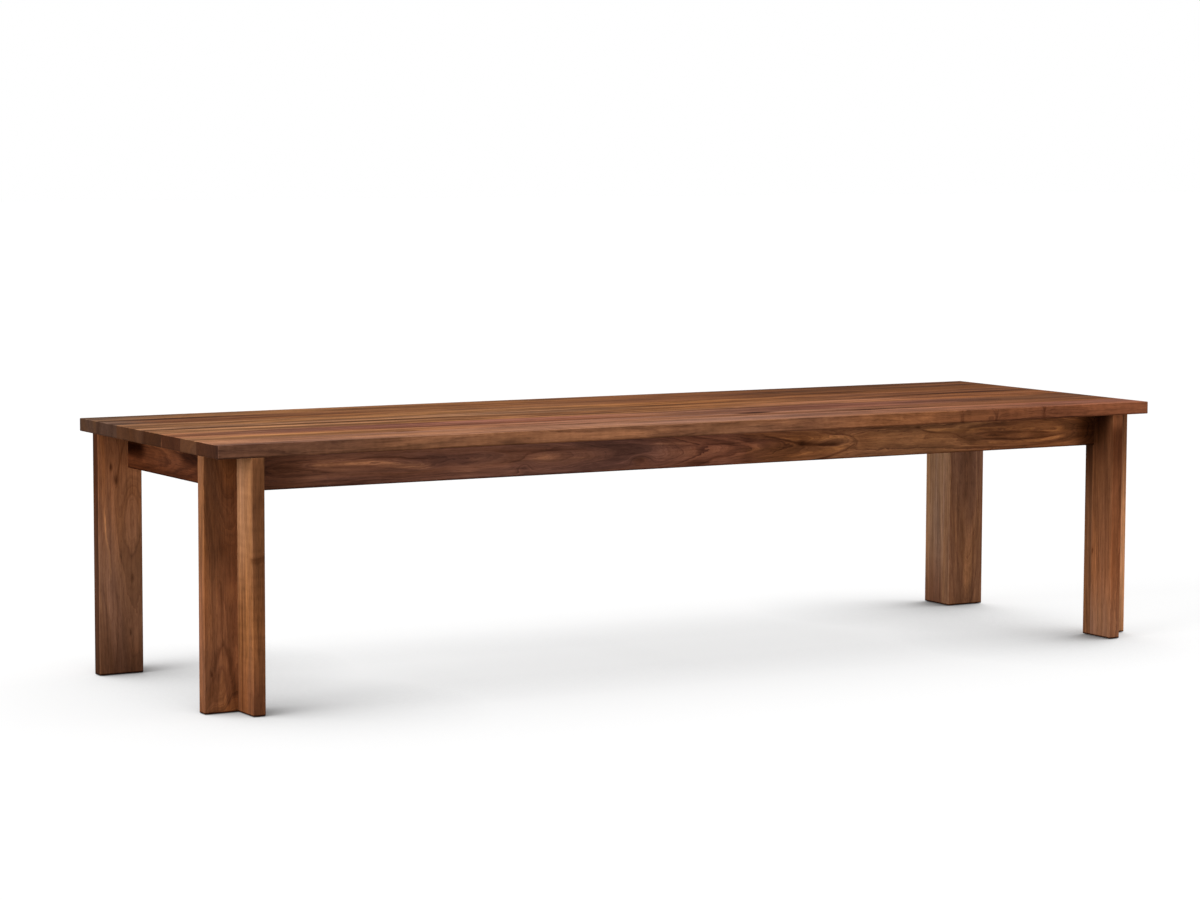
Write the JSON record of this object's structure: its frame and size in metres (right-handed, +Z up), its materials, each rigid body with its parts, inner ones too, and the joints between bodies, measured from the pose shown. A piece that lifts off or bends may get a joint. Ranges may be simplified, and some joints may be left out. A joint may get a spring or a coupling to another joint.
{
  "type": "refectory table",
  "caption": "Long rectangular solid walnut dining table: thick plank top flush with L-section corner legs, joined by a deep set-back apron frame.",
  "frame": {"origin": "on the floor, under the middle of the top", "axes": "+X along the table's length, +Y across it towards the back, +Z up"},
  "size_m": [3.2, 1, 0.75],
  "materials": {
    "walnut_top": "satin oil, figured boards of mixed tone",
    "walnut_leg": "satin oil",
    "walnut_apron": "satin oil, bold cathedral grain",
    "walnut_inner": "planed, thinly oiled",
    "beech_tenon": "milled, bare",
    "zinc_steel": "zinc plated",
    "felt": "pressed felt"
  },
  "bodies": {
    "root": {"top_plank_1": "walnut_top", "top_plank_2": "walnut_top", "top_plank_3": "walnut_top", "top_plank_4": "walnut_top", "top_plank_5": "walnut_top", "top_plank_6": "walnut_top", "top_plank_7": "walnut_top", "leg_front_left_side_board": "walnut_leg", "leg_front_left_end_board": "walnut_leg", "leg_front_left_loose_tenons": "beech_tenon", "leg_front_left_felt_pads": "felt", "leg_front_right_side_board": "walnut_leg", "leg_front_right_end_board": "walnut_leg", "leg_front_right_loose_tenons": "beech_tenon", "leg_front_right_felt_pads": "felt", "leg_back_left_side_board": "walnut_leg", "leg_back_left_end_board": "walnut_leg", "leg_back_left_loose_tenons": "beech_tenon", "leg_back_left_felt_pads": "felt", "leg_back_right_side_board": "walnut_leg", "leg_back_right_end_board": "walnut_leg", "leg_back_right_loose_tenons": "beech_tenon", "leg_back_right_felt_pads": "felt", "apron_back": "walnut_apron", "apron_front": "walnut_apron", "apron_right_end": "walnut_apron", "apron_left_end": "walnut_apron", "cross_rail_1": "walnut_inner", "cross_rail_2": "walnut_inner", "cross_rail_3": "walnut_inner", "corner_brace_front_left": "walnut_inner", "corner_brace_front_right": "walnut_inner", "corner_brace_back_left": "walnut_inner", "corner_brace_back_right": "walnut_inner", "top_buttons_back": "walnut_inner", "top_buttons_front": "walnut_inner", "top_buttons_right_end": "walnut_inner", "top_buttons_left_end": "walnut_inner", "top_button_screws": "zinc_steel", "cross_rail_screws": "zinc_steel", "corner_brace_screws": "zinc_steel"}
  },
  "joints": []
}
